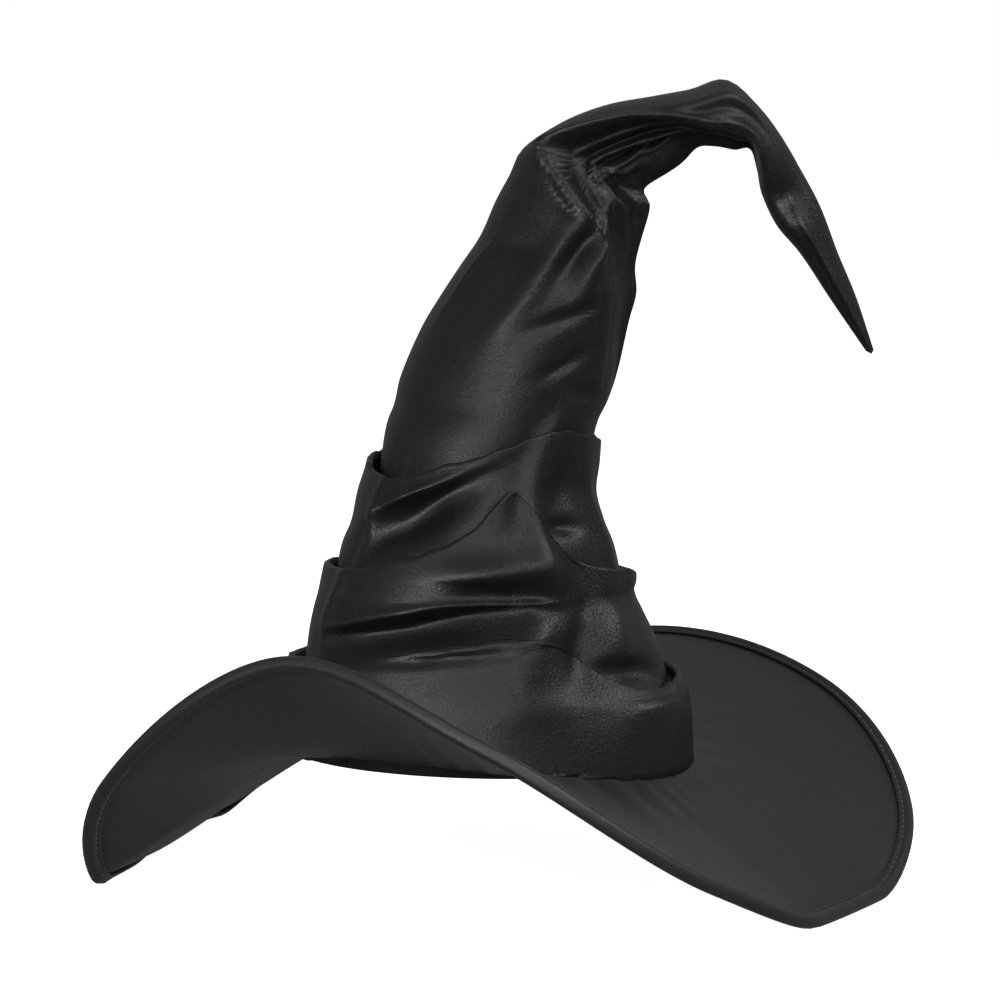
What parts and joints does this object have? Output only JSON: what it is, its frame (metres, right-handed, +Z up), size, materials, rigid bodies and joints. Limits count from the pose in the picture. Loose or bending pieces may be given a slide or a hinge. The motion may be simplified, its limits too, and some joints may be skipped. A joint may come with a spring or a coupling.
{
  "type": "costume hat",
  "caption": "Crooked black satin costume hat with a tall tucked crown whose tip bends over and falls, and a wide wavy bound brim, resting on its drooping brim ends.",
  "frame": {"origin": "on the surface the hat rests on, under the middle of its outline in plan", "axes": "+X along the brim's long axis from its left drooping end to its right one, +Y to the far side of the brim, +Z up out of the head opening"},
  "size_m": [0.3874, 0.3824, 0.3782],
  "materials": {
    "crown_satin": "black satin with a strong sheen and fine sparkle",
    "brim_satin": "black satin with a soft sheen",
    "binding_satin": "black satin binding with stitching"
  },
  "bodies": {
    "root": {"crown": "crown_satin", "brim_top": "brim_satin", "brim_under": "brim_satin", "edge_binding": "binding_satin"}
  },
  "joints": []
}
